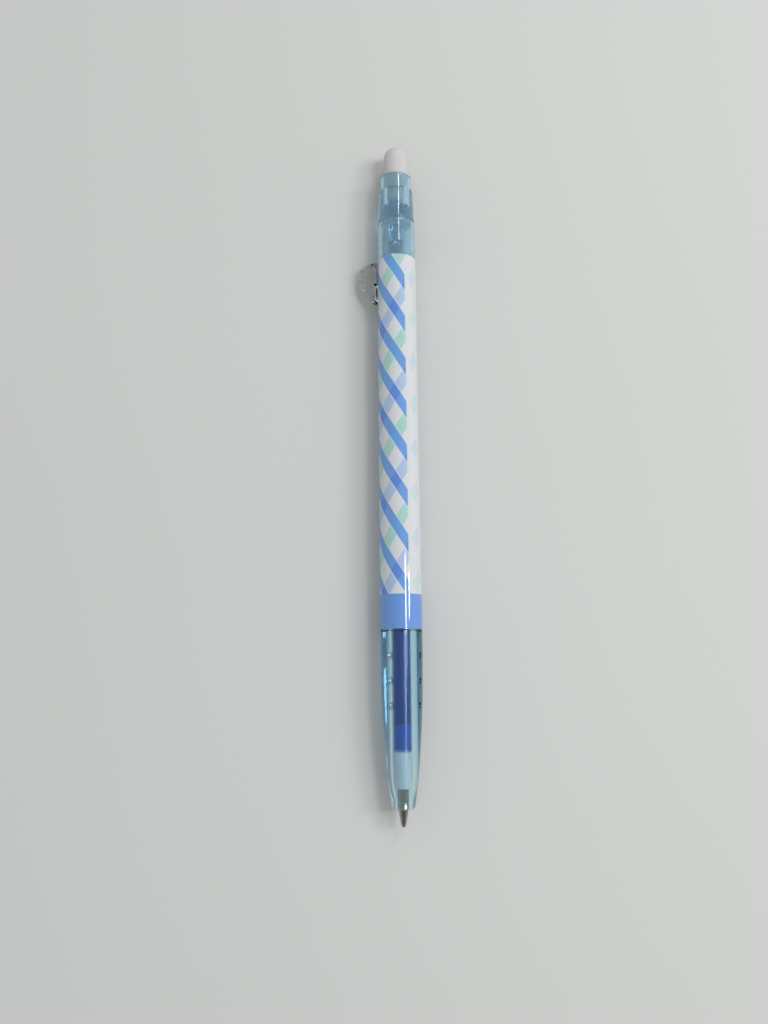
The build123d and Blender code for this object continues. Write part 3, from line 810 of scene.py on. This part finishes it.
holder_front = station("tip_holder", 0)
spigot_rear = station("tip_holder", 1)
point_socket_r = radius_of("point_tube") + 0.03
point_socket_end = holder_front + 3.6
holder_r = 1.65
feed_r = 0.5             # the hole that lets ink through to the point
holder_outline = (
    [(point_socket_r, holder_front), (1.48, holder_front), (1.60, holder_front + 0.15)]
    + [(holder_r, s) for s in spread(holder_front + 3.0, tube_front - 1.2, 1.0)]
    + [(refill_r, tube_front - 0.5), (refill_r, tube_front - 0.02), (filled_r, tube_front - 0.02)]
    + [(filled_r, s) for s in spread(tube_front + 0.4, spigot_rear, 1.0)]
    + [(feed_r, spigot_rear), (feed_r, point_socket_end), (point_socket_r, point_socket_end)]
)
# White polypropylene: a milky, softly shaded moulding, whose spigot looks bright blue where a film
# of ink covers it inside the tube.
inked_from, inked_to = -0.3, 0.5     # from the tube's front, over which the blue comes in
holder_plastic, tree, out = material("white_polypropylene")
place = add(tree, "ShaderNodeTexCoord")
split = add(tree, "ShaderNodeSeparateXYZ", None, {0: place.outputs["Object"]})
speck = add(tree, "ShaderNodeTexNoise", None,
            {"Vector": place.outputs["Object"], "Scale": 900.0, "Detail": 2.0})
inked = add(tree, "ShaderNodeMapRange", {"clamp": True}, {
    "Value": split.outputs[1], "From Min": point_y + (tube_front + inked_from) * MM,
    "From Max": point_y + (tube_front + inked_to) * MM})
blue_through = add(tree, "ShaderNodeMix", {"data_type": "RGBA"},
                   {"Factor": speck.outputs["Fac"], "A": srgb("#2c66dc"), "B": srgb("#3a78ee")})
tone = add(tree, "ShaderNodeMix", {"data_type": "RGBA"},
           {"Factor": inked.outputs[0], "A": srgb("#dbe3ea"), "B": blue_through.outputs["Result"]})
skin = add(tree, "ShaderNodeBsdfPrincipled", None, {
    "Base Color": tone.outputs["Result"], "Roughness": 0.38, "IOR": 1.49,
    "Subsurface Weight": 0.3, "Subsurface Radius": (0.8, 0.9, 1.0), "Subsurface Scale": 0.0006})
tree.links.new(skin.outputs[0], out.inputs["Surface"])
holder_mesh = turned("point_holder", holder_outline, 64)
finish("point_holder", holder_mesh, holder_plastic, "refill", "tip_holder")

ball_r = radius_of("writing_ball")
point_r = radius_of("point_tube")
point_rear = station("point_tube", 1)
lip = ball_r * 0.8       # how far the ball stands out of its socket
cone_length = 3.4
cone_end = lip + cone_length
cone_rings = 8
feed_bore_r = ball_r * 0.62
point_bore_r = point_r - 0.35
groove_r = point_r - 0.05
point_outline = (
    [(feed_bore_r, lip), (ball_r + 0.05, lip), (ball_r + 0.10, lip + 0.08)]
    + [(ball_r + 0.10 + (point_r - 0.06 - ball_r - 0.10) * i / cone_rings,
        lip + 0.08 + (cone_end - lip - 0.3) * i / cone_rings) for i in range(1, cone_rings + 1)]
    + [(point_r, cone_end), (point_r, cone_end + 0.9), (groove_r, cone_end + 0.98)]
    + [(groove_r, cone_end + 1.10), (point_r, cone_end + 1.18)]
    + [(point_r, s) for s in spread(cone_end + 2.0, point_rear, 1.0)]
    + [(point_bore_r, point_rear), (point_bore_r, cone_end), (feed_bore_r, cone_end - 1.7)]
)


def turned_metal(name, colour, roughness, groove):
    """Bare metal with the fine rings that a lathe tool leaves, about a tenth of a millimetre apart."""
    metal, tree, out = material(name)
    place = add(tree, "ShaderNodeTexCoord")
    rings = add(tree, "ShaderNodeMapping", None,
                {"Vector": place.outputs["Object"], "Scale": (40.0, 9000.0, 40.0)})
    mark = add(tree, "ShaderNodeTexNoise", None,
               {"Vector": rings.outputs[0], "Scale": 1.0, "Detail": 1.0})
    rough = add(tree, "ShaderNodeMapRange", None,
                {"Value": mark.outputs["Fac"], "To Min": roughness * 0.8, "To Max": roughness * 1.3})
    bump = add(tree, "ShaderNodeBump", None,
               {"Height": mark.outputs["Fac"], "Strength": 0.3, "Distance": groove * MM})
    skin = add(tree, "ShaderNodeBsdfPrincipled", None, {
        "Base Color": colour, "Metallic": 1.0, "Roughness": rough.outputs[0],
        "Normal": bump.outputs[0]})
    tree.links.new(skin.outputs[0], out.inputs["Surface"])
    return metal


# Nickel silver, turned on an automatic lathe: a warm grey that mirrors in fine rings.
point_metal = turned_metal("nickel_silver_turned", srgb("#95928c"), roughness=0.16, groove=0.004)
point_mesh = turned("point_cone", point_outline, 72)
finish("point_cone", point_mesh, point_metal, "refill", "point_tube")

# Cemented carbide, ground round: a darker and smoother grey than the point round it.
ball_outline = [(0, 0.0)]
ball_outline += [(ball_r * sin(radians(a)), ball_r - ball_r * cos(radians(a)))
                 for a in range(10, 180, 10)]
ball_outline += [(0, 2 * ball_r)]
ball_metal = turned_metal("ground_hard_metal", srgb("#8e8e90"), roughness=0.12, groove=0.001)
ball_mesh = turned("ground_ball", ball_outline, 36)
finish("ground_ball", ball_mesh, ball_metal, "ball", "writing_ball")


# ---------------------------------------------------------------------------------------------
# Push mechanism: polypropylene and acetal mouldings under the film, a slider and a rotor inside a
# fixed sleeve, whose rounded legs reach out behind the film's edge. Their meshes are the CAD
# pieces' own, and only their materials are made here.

# Blue polypropylene: cloudy, so that it darkens the tube round it and shows no bright lines.
inner_plastic = clear_plastic(
    "clear_blue_polypropylene_inner", tint=srgb("#c8e5f3"), clarity=0.6,
    colour=srgb("#59d7fd"), absorb=160.0, roughness=0.08, index=1.49)
for node in ("cam_sleeve", "knock_slider"):
    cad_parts[node].data.materials.clear()
    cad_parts[node].data.materials.append(inner_plastic)


def moulded(name, first, second, roughness):
    """Moulded plastic from a spark-eroded mould: an even colour with a faint mottle and fine skin."""
    plastic, tree, out = material(name)
    place = add(tree, "ShaderNodeTexCoord")
    mottle = add(tree, "ShaderNodeTexNoise", None,
                 {"Vector": place.outputs["Object"], "Scale": 700.0, "Detail": 3.0})
    tone = add(tree, "ShaderNodeMix", {"data_type": "RGBA"},
               {"Factor": mottle.outputs["Fac"], "A": first, "B": second})
    bump = add(tree, "ShaderNodeBump", None,
               {"Height": mottle.outputs["Fac"], "Strength": 0.2, "Distance": 0.01 * MM})
    skin = add(tree, "ShaderNodeBsdfPrincipled", None, {
        "Base Color": tone.outputs["Result"], "Roughness": roughness, "IOR": 1.48,
        "Normal": bump.outputs[0]})
    tree.links.new(skin.outputs[0], out.inputs["Surface"])
    return plastic


# Acetal is slippery, dense and slightly waxy, the cap a plain dyed plastic, the grease a wet paste.
white_acetal = moulded("white_acetal", srgb("#e3e4e2"), srgb("#dadcda"), 0.4)
natural_acetal = moulded("natural_acetal", srgb("#dfe2df"), srgb("#d2d8d8"), 0.45)
blue_cap = moulded("blue_polypropylene", srgb("#2f5fb0"), srgb("#2a559f"), 0.4)
grease = moulded("clear_grease", srgb("#d6d8cc"), srgb("#ccd0c4"), 0.25)
for node, plastic in (("rotor", white_acetal), ("refill_cap", blue_cap), ("ink_follower", grease),
                      ("spring_seat", natural_acetal), ("spring_collar", natural_acetal)):
    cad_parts[node].data.materials.clear()
    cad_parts[node].data.materials.append(plastic)


# ---------------------------------------------------------------------------------------------
# Springs: drawn steel wire wound on a mandrel. The return spring stands round the refill between
# its seat in the barrel and its collar on the refill.
# The fine point spring sits inside the metal point.

# Drawn spring steel: a bright grey with fine drawing lines that blur what it mirrors.
spring_steel = turned_metal("drawn_spring_steel", srgb("#b9bbbd"), roughness=0.25, groove=0.002)


def coil_spring(name, node, wire, turns, body):
    """A round-wire coil in the place of its CAD node, wound by a node tree with named sizes."""
    front, rear = station(node, 0), station(node, 1)
    mean_r = radius_of(node) - wire / 2
    tree = bpy.data.node_groups.new(name + "_winding", "GeometryNodeTree")
    sizes = {"Mean radius": mean_r * MM, "Wire": wire * MM, "Length": (rear - front - wire) * MM,
             "Turns": turns}
    for size_name in sizes:
        tree.interface.new_socket(size_name, in_out="INPUT", socket_type="NodeSocketFloat")
    tree.interface.new_socket("Geometry", in_out="OUTPUT", socket_type="NodeSocketGeometry")
    given = add(tree, "NodeGroupInput")
    helix = add(tree, "GeometryNodeCurveSpiral", None, {
        "Resolution": 28, "Rotations": given.outputs["Turns"],
        "Start Radius": given.outputs["Mean radius"], "End Radius": given.outputs["Mean radius"],
        "Height": given.outputs["Length"]})
    half_wire = add(tree, "ShaderNodeMath", {"operation": "MULTIPLY"},
                    {0: given.outputs["Wire"], 1: 0.5})
    section = add(tree, "GeometryNodeCurvePrimitiveCircle", None,
                  {"Resolution": 10, "Radius": half_wire.outputs[0]})
    wound = add(tree, "GeometryNodeCurveToMesh", None,
                {"Curve": helix.outputs[0], "Profile Curve": section.outputs[0], "Fill Caps": True})
    laid = add(tree, "GeometryNodeTransform", None, {
        "Geometry": wound.outputs[0], "Rotation": (-pi / 2, 0.0, 0.0),
        "Translation": (axis_x, point_y + (front + wire / 2) * MM, axis_z)})
    real = add(tree, "GeometryNodeRealizeInstances", None, {0: laid.outputs[0]})
    steel = add(tree, "GeometryNodeSetMaterial", None,
                {"Geometry": real.outputs[0], "Material": spring_steel})
    add(tree, "NodeGroupOutput", None, {"Geometry": steel.outputs[0]})
    seed = bpy.data.objects.new(name + "_seed", bpy.data.meshes.new(name + "_seed"))
    bpy.context.scene.collection.objects.link(seed)
    winding = seed.modifiers.new("winding", "NODES")
    winding.node_group = tree
    for item in tree.interface.items_tree:
        if item.in_out == "INPUT":
            winding[item.identifier] = float(sizes[item.name])
    bpy.context.view_layer.update()
    evaluated = seed.evaluated_get(bpy.context.evaluated_depsgraph_get())
    mesh = bpy.data.meshes.new_from_object(evaluated)
    bpy.data.objects.remove(seed)
    mesh.materials.clear()
    return finish(name, mesh, spring_steel, body, node)


return_spring = coil_spring("return_spring_coil", "return_spring", wire=0.45, turns=15.0, body=None)
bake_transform(return_spring)
coil_spring("point_spring_coil", "point_spring", wire=0.14, turns=7.0, body="refill")
